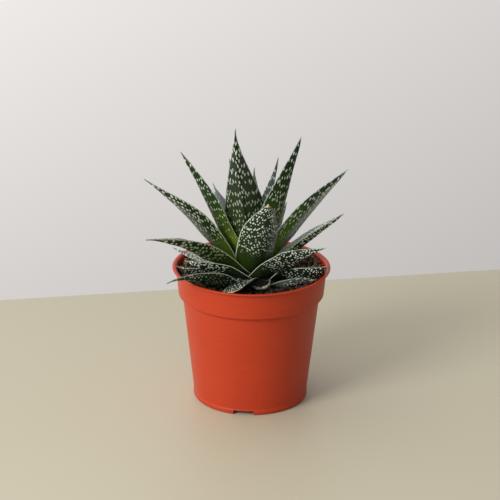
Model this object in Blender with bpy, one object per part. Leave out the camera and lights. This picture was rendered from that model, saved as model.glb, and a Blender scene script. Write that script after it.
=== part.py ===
"""Potted gasteria: a rosette of banded, toothed leaves on a short stem, in the soil of a round nursery pot.

The pot's foot stands on z = 0, its axis is the Z axis, azimuth 0 faces -Y and azimuth 90 faces +X.
Driving sizes are in millimetres and become metres when the meshes are made.
"""

import math
from collections import namedtuple

import bmesh
import bpy
import numpy as np

MM = 0.001
GAP = 0.3
SEAT_GAP = 0.5

# Pot: its wall is one closed profile, turned about the axis. (radius, height) pairs
POT_SEGMENTS = 64
POT_UNDERSIDE = ((0.0, 0.0), (23.0, 0.0), (24.6, 3.0), (40.2, 3.0), (41.2, 0.0))
POT_OUTSIDE = (
    (42.8, 0.0),
    (43.6, 0.8),
    (43.8, 3.6),
    (43.4, 4.4),
    (52.0, 81.2),
    (55.3, 83.8),
    (57.1, 103.4),
)
POT_LIP = ((58.9, 103.5), (60.0, 104.1), (59.9, 104.8), (58.2, 105.0), (57.0, 104.5))
POT_INSIDE = ((56.3, 103.2), (54.5, 84.9), (51.0, 81.6), (42.4, 5.2), (41.4, 4.2))
POT_FLOOR = ((25.4, 4.2), (23.8, 1.2), (0.0, 1.2))
NOTCH_AZIMUTHS = (-6.6, 113.4, 233.4)
NOTCH_WIDTH = 15.6
NOTCH_HEIGHT = 3.7
NOTCH_REACH = 42.5
NOTCH_DEPTH = 6.0
DRAIN_COUNT = 6
DRAIN_RADIUS = 4.0
DRAIN_REACH = 32.5
DRAIN_DEPTH = 4.0
DRAIN_MIDDLE = 3.6
FIRST_DRAIN = 30.0

# Soil: it fills the pot and has a plain hole for the stem
SOIL_SEGMENTS = 54
SOIL_LEVEL = 94.6
SOIL_RISE = 5.2
SOIL_RELIEF = 0.7
SOIL_WALL = ((41.0, 4.5), (42.0, 5.4), (50.6, 82.0), (54.1, 85.3))
SOIL_EDGE = 55.3
SOIL_RINGS = (51.5, 47.5, 43.0, 38.0, 33.0, 28.5, 24.5, 17.0)
LEVEL_RINGS = 26.0

# Stem: a sloping crown that carries the leaves, and a tapered root
STEM_SEGMENTS = 24
CROWN_REACH = 24.0
CROWN_HEIGHT = 97.0
STEP_IN = 0.82
STEP_UP = 0.66
CROWN_DEPTH = 1.1
TOP_STEP = 27.6
NECK_RADIUS = 9.0
ROOT_RADIUS = 5.5
ROOT_BOTTOM = 68.0
NECK_DEPTH = 8.0
CROWN_CHAMFER = 1.5
CROWN_DOME = 0.4

# Leaf surface. Columns run across a leaf from margin (1) to margin (-1), over its face and then its back
FACE_COLUMNS = (1.0, 0.62, 0.21, -0.21, -0.62)
BACK_COLUMNS = (-1.0, -0.68, -0.34, 0.0, 0.34, 0.68)
FACE_SHARE = 0.18
KEEL_SHAPE = 1.35
TOOTH = 0.45
TUBERCLE = 0.4
AWN_RADIUS = 0.42
AWN_LENGTH = 1.2
LARGE, MEDIUM, SMALL = 25, 19, 14

# Fullness along a leaf, as (share of the length, share of the greatest thickness)
FULLNESS = ((0.0, 0.42), (0.08, 0.62), (0.3, 1.0), (0.6, 0.82), (0.9, 0.42), (1.0, 0.15))

# A leaf's midrib is one cubic curve from the crown to the tip.
# azimuth, step and rise: where it starts, how many steps up the crown's slope, and how steeply.
# tip_azimuth, tip_rise, reach and height: the tip's direction, slope, distance from the axis and height.
# width: greatest width. plump: thickness over width. shoulder and taper: where the narrowing starts and how
# fast it goes. base: share of the width at the stem. channel: fold along the length. roll: turn about the
# midrib. pull and tip_pull: lengths of the curve's handles. stations: rows of points along the leaf.
Leaf = namedtuple(
    "Leaf",
    "azimuth step rise tip_rise reach height width tip_azimuth plump shoulder taper base channel roll"
    " pull tip_pull stations",
)


def leaf(azimuth, step, rise, tip_rise, reach, height, width, **changes):
    values = {
        "tip_azimuth": azimuth,
        "plump": 0.2,
        "shoulder": 0.62,
        "taper": 1.3,
        "base": 0.62,
        "channel": 0.25,
        "roll": 0.0,
        "pull": 0.33,
        "tip_pull": 0.33,
        "stations": MEDIUM,
    }
    values.update(changes)
    return Leaf(azimuth, step, rise, tip_rise, reach, height, width, **values)


LEAVES = {
    "leaf_middle_tall": leaf(
        -8, 25, 78.5, 89.5, 21.6, 218.7, 31.7, tip_azimuth=-36, shoulder=0.82, taper=1.57, base=0.36,
        roll=26, pull=0.27, tip_pull=0.27, stations=LARGE,
    ),
    "leaf_left_upper": leaf(
        -100.5, 20.6, 56, 53.6, 53.3, 197.1, 26.4, tip_azimuth=-82.4, shoulder=0.55, base=0.65, channel=0.3,
        roll=11, pull=0.36, tip_pull=0.36, stations=LARGE,
    ),
    "leaf_left_long": leaf(
        -83.3, 16, 50.3, 37.1, 89.2, 188.2, 22.9, tip_azimuth=-61.5, shoulder=0.69, taper=1.42, base=0.75,
        channel=0.3, roll=30, pull=0.5, tip_pull=0.41, stations=LARGE,
    ),
    "leaf_left_arching": leaf(
        -61, 12, 37.7, 13.2, 106.5, 153.4, 30.8, tip_azimuth=-45.4, shoulder=0.73, taper=1.54, base=0.85,
        channel=0.5, roll=8, pull=0.39, tip_pull=0.46, stations=LARGE,
    ),
    "leaf_left_under": leaf(
        -102, 9.8, 12, 22.6, 61.0, 113.3, 16.6, tip_azimuth=-103.3, plump=0.17, stations=SMALL,
    ),
    "leaf_left_low": leaf(
        -57.5, 7, 32, 17, 50.6, 112.1, 23, tip_azimuth=-78.9, shoulder=0.6, base=1.2, roll=25, plump=0.17,
    ),
    "leaf_left_lowest": leaf(
        -93, 1, 5, 27.8, 56.0, 105.0, 17.4, tip_azimuth=-86.8, base=0.82, roll=23, tip_pull=0.28,
        plump=0.17,
    ),
    "leaf_left_over_lip": leaf(
        -39, 0, 12.8, -10.7, 83.0, 112.1, 21, tip_azimuth=-48, shoulder=0.82, taper=1.44, base=0.9,
        channel=0.4, roll=38, tip_pull=0.45,
    ),
    "leaf_front_curled": leaf(
        -1, 1.5, 10, -15, 46.0, 101.0, 16, tip_azimuth=-17, shoulder=0.2, taper=0.5, base=0.8,
        channel=1.1, stations=SMALL,
    ),
    "leaf_front_dried": leaf(
        24, 1.2, 4, 85, 40.5, 108.5, 9, tip_azimuth=24, base=0.6, channel=0.8, pull=0.5, tip_pull=0.35,
        stations=SMALL,
    ),
    "leaf_front_short": leaf(
        3.3, 13.7, 57.5, 64.1, 29.8, 163.9, 28.8, tip_azimuth=23.6, shoulder=0.51, taper=0.87, base=0.8,
        channel=0.3, roll=-2, pull=0.39, tip_pull=0.31, stations=LARGE,
    ),
    "leaf_right_tall": leaf(
        56.5, 22, 69.5, 68.8, 36.0, 209.4, 32.6, tip_azimuth=81.3, shoulder=0.71, taper=0.98, base=0.49,
        roll=-12, stations=LARGE,
    ),
    "leaf_right_long": leaf(
        93.4, 18.6, 54, 45.6, 70.5, 185.0, 24.4, tip_azimuth=83.6, shoulder=0.56, taper=0.96, base=0.72,
        channel=0.3, roll=-32, stations=LARGE,
    ),
    "leaf_right_low": leaf(
        95.4, 13, 36.7, 30.2, 68.7, 144.8, 20.9, tip_azimuth=95, shoulder=0.54, taper=1.17, base=0.9,
        channel=0.4, roll=-12, tip_pull=0.35, stations=LARGE,
    ),
    "leaf_right_front": leaf(
        54.2, 7.8, 44, 17.2, 65.7, 133.7, 28.5, tip_azimuth=56, shoulder=0.56, taper=1.36, base=1.0,
        channel=0.4, roll=-22, pull=0.34, tip_pull=0.39, stations=LARGE,
    ),
    "leaf_right_lowest": leaf(
        75.3, 4.2, 5, 45.8, 58.1, 110.5, 23, tip_azimuth=75.3, shoulder=0.54, taper=0.7, base=0.9, roll=-32,
        plump=0.17,
    ),
    "leaf_right_small": leaf(46, 0.6, 0, 4, 51.0, 100.5, 12, tip_azimuth=66, stations=SMALL),
    "leaf_back_right": leaf(
        167, 19.2, 67, 72.7, 27.5, 184.2, 15.2, tip_azimuth=135.7, base=0.36, roll=-23,
    ),
    "leaf_back_right_short": leaf(
        158, 13.5, 54, 65, 33.9, 147.8, 14, tip_azimuth=131.5, roll=-18, stations=SMALL,
    ),
    "leaf_back_inner": leaf(175, 24, 80, 68, 21.0, 175.5, 13.6, tip_azimuth=176, base=0.33),
    "leaf_back_left_inner": leaf(-143, 22.4, 67, 76, 28.0, 182.0, 13.8, tip_azimuth=-142, base=0.39),
    "leaf_back_left": leaf(-142, 15, 60, 60, 39.9, 160.8, 18, tip_azimuth=-132, base=0.5, roll=-20),
    "leaf_back_middle": leaf(180, 10, 30, 30, 60.0, 126.0, 20, stations=SMALL),
    "leaf_back_left_low": leaf(-148, 5, 10, 8, 54.0, 105.0, 18, stations=SMALL),
    "leaf_back_low": leaf(162, 6, 10, 8, 52.0, 106.0, 18, stations=SMALL),
    "leaf_back_right_low": leaf(128, 9.5, 14, 4, 46.0, 106.0, 17, stations=SMALL),
    "leaf_youngest": leaf(130, 27.2, 80, 84, 6.0, 148.0, 5, base=0.5, stations=SMALL),
}


# Colours are linear
def material(name, colour, roughness):
    made = bpy.data.materials.new(name)
    made.use_nodes = True
    shader = made.node_tree.nodes["Principled BSDF"]
    shader.inputs["Base Color"].default_value = (*colour, 1.0)
    shader.inputs["Roughness"].default_value = roughness
    shader.inputs["Metallic"].default_value = 0.0
    made.diffuse_color = (*colour, 1.0)
    return made


def add_mesh(name, points, faces, slot, smooth_angle=40.0):
    """Adds an object named name. points are in millimetres; faces are index tuples."""
    mesh = bpy.data.meshes.new(name)
    mesh.from_pydata((np.asarray(points, float) * MM).tolist(), [], [tuple(map(int, f)) for f in faces])
    mesh.materials.append(slot)
    mesh.shade_smooth()
    mesh.set_sharp_from_angle(angle=math.radians(smooth_angle))
    made = bpy.data.objects.new(name, mesh)
    bpy.context.scene.collection.objects.link(made)
    return made


def turned(profile, segments):
    """Turns a closed profile that starts and ends on the axis, going out along its underside."""
    count = len(profile)
    points = [(0.0, 0.0, profile[0][1])]
    for radius, height in profile[1:-1]:
        for k in range(segments):
            angle = 2 * math.pi * k / segments
            points.append((radius * math.cos(angle), radius * math.sin(angle), height))
    points.append((0.0, 0.0, profile[-1][1]))
    last = len(points) - 1
    rings = count - 2
    faces = []
    for k in range(segments):
        after = (k + 1) % segments
        faces.append((0, 1 + after, 1 + k))
        for ring in range(rings - 1):
            low = 1 + ring * segments
            high = low + segments
            faces.append((low + k, low + after, high + after, high + k))
        top = 1 + (rings - 1) * segments
        faces.append((top + k, top + after, last))
    return points, faces


def heading(azimuth):
    angle = np.radians(azimuth)
    return np.stack([np.sin(angle), -np.cos(angle), 0 * angle], -1)


def cutter(name, mesh_maker):
    """A hidden tool body for a Boolean, made by one bmesh operator."""
    mesh = bpy.data.meshes.new(name)
    work = bmesh.new()
    mesh_maker(work)
    work.to_mesh(mesh)
    work.free()
    made = bpy.data.objects.new(name, mesh)
    made.hide_render = True
    made.display_type = "WIRE"
    bpy.context.scene.collection.objects.link(made)
    return made


def cut(target, tool):
    boolean = target.modifiers.new(tool.name, "BOOLEAN")
    boolean.object = tool
    boolean.operation = "DIFFERENCE"


def make_pot():
    profile = POT_UNDERSIDE + POT_OUTSIDE + POT_LIP + POT_INSIDE + POT_FLOOR
    points, faces = turned(profile, POT_SEGMENTS)
    pot = add_mesh("pot", points, faces, material("pot_plastic", (0.49, 0.058, 0.021), 0.42), 30.0)
    for index, azimuth in enumerate(NOTCH_AZIMUTHS):
        tool = cutter(f"notch_tool_{index}", lambda work: bmesh.ops.create_cube(work, size=1.0))
        tool.scale = (NOTCH_WIDTH * MM, NOTCH_DEPTH * MM, 2 * NOTCH_HEIGHT * MM)
        tool.location = heading(azimuth) * NOTCH_REACH * MM
        tool.rotation_euler = (0.0, 0.0, math.radians(azimuth))
        cut(pot, tool)
    for index in range(DRAIN_COUNT):
        tool = cutter(
            f"drain_tool_{index}",
            lambda work: bmesh.ops.create_cone(
                work, cap_ends=True, segments=20, radius1=DRAIN_RADIUS * MM,
                radius2=DRAIN_RADIUS * MM, depth=DRAIN_DEPTH * MM,
            ),
        )
        place = heading(FIRST_DRAIN + index * 360 / DRAIN_COUNT) * DRAIN_REACH
        tool.location = (place[0] * MM, place[1] * MM, DRAIN_MIDDLE * MM)
        cut(pot, tool)


def soil_height(radius, angle):
    """Lumpy top: level around the stem, and rising ever faster towards the pot's wall."""
    slope = np.clip((radius - LEVEL_RINGS) / (SOIL_EDGE - LEVEL_RINGS), 0, 1)
    lumps = (
        np.sin(7 * angle + 0.21 * radius)
        + np.sin(11 * angle - 0.47 * radius + 1.3)
        + np.sin(17 * angle + 0.9 * radius + 0.4)
    )
    return SOIL_LEVEL + SOIL_RISE * slope**2 + SOIL_RELIEF * lumps / 3 * np.clip(4 * slope, 0, 1)


def make_soil():
    angle = 2 * np.pi * np.arange(SOIL_SEGMENTS) / SOIL_SEGMENTS
    hole = NECK_RADIUS + GAP
    rings = [(r, np.full_like(angle, z)) for r, z in SOIL_WALL]
    rings += [(SOIL_EDGE, soil_height(SOIL_EDGE, angle))]
    rings += [(r, soil_height(r, angle)) for r in SOIL_RINGS]
    rings += [(hole, soil_height(hole, angle)), (hole, np.full_like(angle, ROOT_BOTTOM - GAP))]
    points = [np.array([[0.0, 0.0, SOIL_WALL[0][1]]])]
    points += [np.stack([r * np.cos(angle), r * np.sin(angle), z], 1) for r, z in rings]
    points += [np.array([[0.0, 0.0, ROOT_BOTTOM - GAP]])]
    last = 1 + len(rings) * SOIL_SEGMENTS
    faces = []
    for k in range(SOIL_SEGMENTS):
        after = (k + 1) % SOIL_SEGMENTS
        faces.append((0, 1 + after, 1 + k))
        for ring in range(len(rings) - 1):
            low = 1 + ring * SOIL_SEGMENTS
            high = low + SOIL_SEGMENTS
            faces.append((low + k, low + after, high + after))
            faces.append((low + k, high + after, high + k))
        top = last - SOIL_SEGMENTS
        faces.append((top + k, top + after, last))
    add_mesh("soil", np.vstack(points), faces, material("soil_peat", (0.055, 0.025, 0.014), 0.95), 60.0)


def crown_point(step):
    return CROWN_REACH - STEP_IN * step, CROWN_HEIGHT + STEP_UP * step


def off_crown(reach, height):
    """Distance outwards from the crown's slope, which lies CROWN_DEPTH inside the line of leaf bases."""
    across = (reach - CROWN_REACH) * STEP_UP + (height - CROWN_HEIGHT) * STEP_IN
    return across / math.hypot(STEP_UP, STEP_IN) + CROWN_DEPTH


def make_stem():
    slope = math.hypot(STEP_UP, STEP_IN)
    shift = (-CROWN_DEPTH * STEP_UP / slope, -CROWN_DEPTH * STEP_IN / slope)
    low = crown_point(0)
    high = crown_point(TOP_STEP)
    plate = SOIL_LEVEL + GAP
    profile = (
        (0.0, ROOT_BOTTOM),
        (ROOT_RADIUS, ROOT_BOTTOM),
        (NECK_RADIUS - GAP, SOIL_LEVEL - NECK_DEPTH),
        (NECK_RADIUS - GAP, plate),
        (low[0] + shift[0] - CROWN_CHAMFER, plate),
        (low[0] + shift[0], low[1] + shift[1]),
        (high[0] + shift[0], high[1] + shift[1]),
        (0.0, high[1] + shift[1] + CROWN_DOME),
    )
    points, faces = turned(profile, STEM_SEGMENTS)
    add_mesh("stem", points, faces, material("stem_tissue", (0.16, 0.17, 0.06), 0.7))


def midrib(spec, share, start):
    """Points and unit directions of the leaf's cubic curve at each share of its parameter."""
    up = np.array([0.0, 0.0, 1.0])
    away, tip_away = heading(spec.azimuth), heading(spec.tip_azimuth)
    tip = tip_away * spec.reach + up * spec.height
    span = np.linalg.norm(tip - start)
    rise, tip_rise = np.radians(spec.rise), np.radians(spec.tip_rise)
    one = start + span * spec.pull * (away * np.cos(rise) + up * np.sin(rise))
    two = tip - span * spec.tip_pull * (tip_away * np.cos(tip_rise) + up * np.sin(tip_rise))
    t = share[:, None]
    q = 1 - t
    points = q**3 * start + 3 * q * q * t * one + 3 * q * t * t * two + t**3 * tip
    along = q * q * (one - start) + 2 * q * t * (two - one) + t * t * (tip - two)
    return points, along / np.linalg.norm(along, axis=1)[:, None]


def half_width(spec, share):
    """A sine taper towards the tip, a slight narrowing towards the stem, never under the awn's radius."""
    left = 1 - share
    wide = np.sin(np.pi / 2 * np.clip(left / spec.shoulder, 0, 1)) ** spec.taper
    near = np.clip((left - spec.shoulder) / (1 - spec.shoulder), 0, 1)
    wide = wide * (1 - (1 - spec.base) * near * near)
    return np.hypot(0.5 * spec.width * wide, AWN_RADIUS)


def leaf_points(spec, share, start):
    """Grid of points, one row a station: flat face, keeled back, teeth on the margins, raised tubercles."""
    middle, along = midrib(spec, share, start)
    azimuth = spec.azimuth + (spec.tip_azimuth - spec.azimuth) * share
    side = np.stack([np.cos(np.radians(azimuth)), np.sin(np.radians(azimuth)), 0 * azimuth], 1)
    side -= (side * along).sum(1)[:, None] * along
    side /= np.linalg.norm(side, axis=1)[:, None]
    face = np.cross(along, side)
    turn = math.radians(spec.roll)
    level_side, level_face = side, face
    side = level_side * math.cos(turn) + level_face * math.sin(turn)
    face = level_face * math.cos(turn) - level_side * math.sin(turn)
    # Near the stem the section turns upright, so that the base lies level round the stem
    hug = np.exp(-((share[:, None] / 0.16) ** 2))
    side = side * (1 - hug) + level_side * hug
    face = face * (1 - hug) - heading(spec.azimuth) * hug
    side /= np.linalg.norm(side, axis=1)[:, None]
    face /= np.linalg.norm(face, axis=1)[:, None]

    across = np.array(FACE_COLUMNS + BACK_COLUMNS)[None, :]
    on_face = np.arange(across.size)[None, :] < len(FACE_COLUMNS)
    margin = np.abs(across) == 1
    row = np.arange(share.size)[:, None]
    half = half_width(spec, share)[:, None]
    thick = spec.plump * spec.width * np.interp(share, *zip(*FULLNESS))[:, None]
    thick = np.minimum(thick, 0.85 * half + 0.25)
    depth = np.where(
        on_face, FACE_SHARE * (1 - across**2), -(1 - FACE_SHARE) * (1 - np.abs(across) ** KEEL_SHAPE)
    )
    depth = depth * thick
    # Teeth and tubercles fade out at the stem and at the awn
    fade = np.clip(share[:, None] / 0.2 - 0.5, 0, 1) * np.clip((half - 1.5) / 3, 0, 1)
    raised = (row + np.arange(across.size)[None, :]) % 2 * TUBERCLE * fade * ~margin
    depth = depth + np.where(on_face, raised, -raised)
    offset = across * half + np.sign(across) * margin * TOOTH * fade * (row % 2 * 2 - 1)

    # The section is bent round the stem at the base and stays slightly channelled further out
    clasp = 1 / (1.05 * crown_point(spec.step)[0] + 1)
    bend = 2 * spec.channel / spec.width
    bend = bend + (clasp - bend) * hug
    arc = offset * bend
    radius = 1 / bend - depth
    return (
        middle[:, None]
        + side[:, None] * (np.sin(arc) * radius)[..., None]
        + face[:, None] * (1 / bend - np.cos(arc) * radius)[..., None]
    ), along


def seated_start(spec):
    """Start of the midrib, moved along its own direction until the base ring is SEAT_GAP off the crown."""
    reach, height = crown_point(spec.step)
    start = heading(spec.azimuth) * reach + np.array([0.0, 0.0, height])
    ring = leaf_points(spec, np.array([0.0, 0.1]), start)[0][0]
    lowest = off_crown(np.hypot(ring[:, 0], ring[:, 1]), ring[:, 2]).min()
    rise = math.radians(spec.rise)
    rate = (math.cos(rise) * STEP_UP + math.sin(rise) * STEP_IN) / math.hypot(STEP_UP, STEP_IN)
    along = heading(spec.azimuth) * math.cos(rise) + np.array([0.0, 0.0, math.sin(rise)])
    return start + along * (SEAT_GAP - lowest) / rate


def make_leaf(name, spec, slot):
    share = np.linspace(0, 1, spec.stations)
    grid, along = leaf_points(spec, share, seated_start(spec))
    rows, columns = grid.shape[:2]
    tip = grid[-1].mean(0) + along[-1] * AWN_LENGTH
    points = np.vstack([grid.reshape(-1, 3), tip])
    end = rows * columns
    faces = [tuple(reversed(range(columns)))]
    for j in range(columns):
        after = (j + 1) % columns
        faces.append((end, (rows - 1) * columns + j, (rows - 1) * columns + after))
        for i in range(rows - 1):
            low, high = i * columns, (i + 1) * columns
            faces.append((low + j, high + after, high + j))
            faces.append((low + j, low + after, high + after))
    add_mesh(name, points, faces, slot, 50.0)


def main():
    for old in list(bpy.data.objects):
        bpy.data.objects.remove(old, do_unlink=True)
    make_pot()
    make_soil()
    make_stem()
    green = material("leaf_green", (0.035, 0.075, 0.028), 0.45)
    dried = material("leaf_dried", (0.36, 0.36, 0.22), 0.7)
    for name, spec in LEAVES.items():
        make_leaf(name, spec, dried if name == "leaf_front_dried" else green)


main()
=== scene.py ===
"""Potted gasteria: the looks of its leaves, soil and nursery pot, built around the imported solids.

Lengths in the tables are millimetres, azimuth 0 faces -Y and azimuth 90 faces +X, as in the solids.
"""

import math
from collections import namedtuple

import bmesh
import bpy
import numpy as np
from mathutils import Matrix


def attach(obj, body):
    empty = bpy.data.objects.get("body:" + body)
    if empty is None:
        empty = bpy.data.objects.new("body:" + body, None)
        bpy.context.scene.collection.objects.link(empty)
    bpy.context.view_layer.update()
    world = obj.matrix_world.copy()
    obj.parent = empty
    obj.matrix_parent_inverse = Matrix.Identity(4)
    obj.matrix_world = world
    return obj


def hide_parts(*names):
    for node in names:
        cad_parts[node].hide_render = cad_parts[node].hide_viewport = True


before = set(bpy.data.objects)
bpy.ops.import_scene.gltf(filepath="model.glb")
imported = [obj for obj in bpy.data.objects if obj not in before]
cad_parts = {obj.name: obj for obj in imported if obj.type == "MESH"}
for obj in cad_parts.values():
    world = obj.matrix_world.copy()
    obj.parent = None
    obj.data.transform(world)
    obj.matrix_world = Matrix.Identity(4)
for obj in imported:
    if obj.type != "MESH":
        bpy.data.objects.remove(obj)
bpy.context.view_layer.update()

MM = 0.001

# Crown of the stem, which the leaf bases clasp
CROWN_REACH = 24.0
CROWN_HEIGHT = 97.0
STEP_IN = 0.82
STEP_UP = 0.66

# Leaf section and margins. HUG is the share of the length over which a base turns to clasp the stem, and
# FULLNESS is the leaf's thickness at some shares of its length
FACE_SHARE = 0.18
KEEL_SHAPE = 1.35
ROUNDING = 0.2
TOOTH = 0.6
TOOTH_PITCH = 1.35
TOOTH_DEPTH = 0.45
TOOTH_LEAN = 0.62
TOOTH_DRAWS = 256
AWN_RADIUS = 0.42
AWN_LENGTH = 1.2
# Width of the painted shade along the keel
KEEL_SHADE_WIDTH = 1.1
HUG = 0.16
FULLNESS = ((0.0, 0.42), (0.08, 0.62), (0.3, 1.0), (0.6, 0.82), (0.9, 0.42), (1.0, 0.15))

# Mesh cells of a leaf
CELL_ALONG = 0.47
CELL_ACROSS = 0.48

# Table of random draws for the marks, and the shift across the leaf that gives its back other draws
DRAW_ROWS = 97
DRAW_COLUMNS = 89
OTHER_SIDE = 500.0

# Seeds of the random draws: of the first leaf, with one more for each next leaf, and of the soil
LEAF_SEED = 100
SOIL_SEED = 7

# How far the rows of marks wander along a leaf, and the wave's turn per millimetre across it
ROW_WANDER = 1.3
ROW_WAVE = 0.24

# Raised marks of a leaf. pitch_across and pitch_along: size of the lattice that the marks sit on. size: half
# width of a mark. stretch: length over width. turn: how far a mark may turn, in radians. rows: lattice rows
# to one crosswise band. dense and contrast: share of places with a mark, and how much that swings within a
# band. height: how far they stand out.
Marks = namedtuple("Marks", "pitch_across pitch_along size stretch turn rows dense contrast height")
DASHES = Marks(2.2, 2.8, 0.45, 3.2, 0.2, 3, 0.60, -0.48, 0.16)
FINE_DASHES = Marks(2.1, 3.3, 0.46, 2.4, 0.25, 2, 0.54, 0.42, 0.14)
BROAD_DASHES = Marks(2.2, 3.2, 0.54, 2.5, 0.25, 2, 0.56, 0.42, 0.14)
LONG_DASHES = Marks(1.8, 3.5, 0.40, 3.6, 0.16, 2, 0.72, 0.24, 0.12)
FINE_DOTS = Marks(1.8, 2.3, 0.46, 1.9, 0.9, 3, 0.82, 0.1, 0.24)
WORMS = Marks(1.9, 2.3, 0.44, 1.8, 1.5, 3, 0.84, 0.1, 0.30)
DOTS = Marks(2.0, 2.5, 0.54, 1.8, 1.1, 3, 0.80, 0.12, 0.26)
BLOTCHES = Marks(3.0, 3.3, 0.95, 1.5, 0.9, 2, 0.80, 0.16, 0.2)
ROUND_DOTS = Marks(2.0, 2.2, 0.52, 1.15, 1.5, 3, 0.80, 0.12, 0.32)

# azimuth and tip_azimuth: which way the leaf leaves the stem and where its tip is. step: how far up the crown
# it sits. rise and tip_rise: slope at its base and tip. reach and height: place of its tip. plump: thickness
# over width. shoulder and taper: where it starts to narrow to the tip, and how sharply. base: width at the
# stem over full width. channel: how far its section is bent. roll: turn about its own midrib. pull and
# tip_pull: lengths of its curve's handles.
# marks_from: share of the leaf's length where its marks begin. pale: how white they are. grey: how far its
# green is dulled. lush: how much further the bright green of the base runs, its paler young green
# with a painted glow of light through the leaf. crease: strength of the dark line along its keel, a
# painted shade. bloom: glaucous grey on the face and on the lower flank, which starts
# bloom_at across the leaf; it is partly the leaf's own glaucous coat and partly a painted sheen.
# bare: how far the marks fade on the lower flank. hem: strength of the pale line on the upper
# margin, partly its pale margin and partly a painted highlight. dry: share of its length that has dried at
# the tip.
Leaf = namedtuple(
    "Leaf",
    "azimuth step rise tip_rise reach height width tip_azimuth plump shoulder taper base channel roll"
    " pull tip_pull marks marks_from pale grey lush crease bloom bloom_at bare hem dry finish",
)


def leaf(azimuth, step, rise, tip_rise, reach, height, width, **changes):
    values = {
        "tip_azimuth": azimuth,
        "plump": 0.2,
        "shoulder": 0.62,
        "taper": 1.3,
        "base": 0.62,
        "channel": 0.25,
        "roll": 0.0,
        "pull": 0.33,
        "tip_pull": 0.33,
        "marks": DOTS,
        "marks_from": 0.16,
        "pale": 0.6,
        "grey": 0.35,
        "lush": 0.0,
        "crease": 0.0,
        "bloom": 0.3,
        "bloom_at": 0.0,
        "bare": 0.0,
        "hem": 1.0,
        "dry": 0.01,
        "finish": "outer",
    }
    values.update(changes)
    return Leaf(azimuth, step, rise, tip_rise, reach, height, width, **values)


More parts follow.
